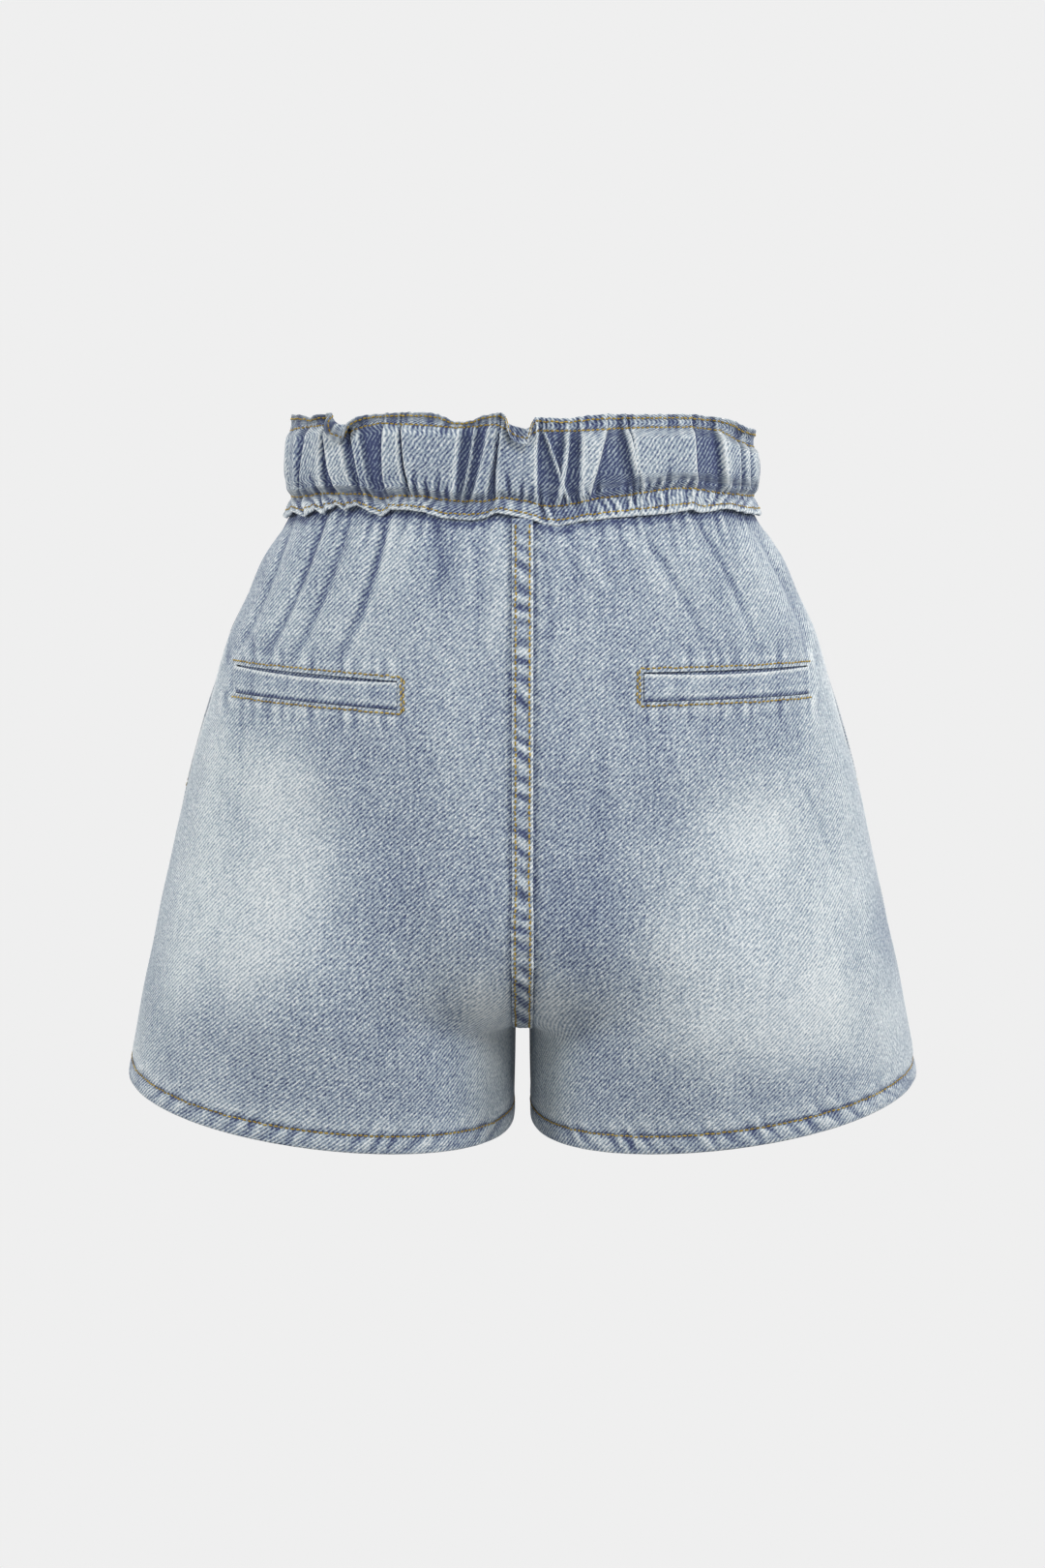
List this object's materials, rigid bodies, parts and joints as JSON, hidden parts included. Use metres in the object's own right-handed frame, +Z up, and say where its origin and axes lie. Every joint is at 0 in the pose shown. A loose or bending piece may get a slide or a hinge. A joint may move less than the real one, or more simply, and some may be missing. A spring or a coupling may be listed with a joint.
{
  "type": "denim shorts",
  "caption": "Light denim shorts with a gathered elastic waist and frill, welt pockets behind, hip pockets before and wide hemmed legs, filled out as when worn and empty inside.",
  "frame": {"origin": "centre of the waist opening, halfway up the elastic casing, where the wearer's waist holds the shorts up", "axes": "+Z up out of the waist, +X to the wearer's right, -Y out of the wearer's back, where the welt pockets are"},
  "size_m": [0.425, 0.2282, 0.3817],
  "materials": {
    "denim": "light washed cotton twill",
    "pocket_denim": "cotton twill, less faded where it lies in the pockets' mouths"
  },
  "bodies": {
    "root": {"back_panel_left": "denim", "back_panel_right": "denim", "front_panel_left": "denim", "front_panel_right": "denim", "back_welt_left": "denim", "back_welt_right": "denim", "back_pocket_left": "pocket_denim", "back_pocket_right": "pocket_denim", "hip_pocket_facing_left": "denim", "hip_pocket_facing_right": "denim", "leg_hem_left": "denim", "leg_hem_right": "denim", "waistband_back": "denim", "waistband_front": "denim", "centre_back_seam": "denim", "centre_front_seam": "denim"}
  },
  "joints": []
}
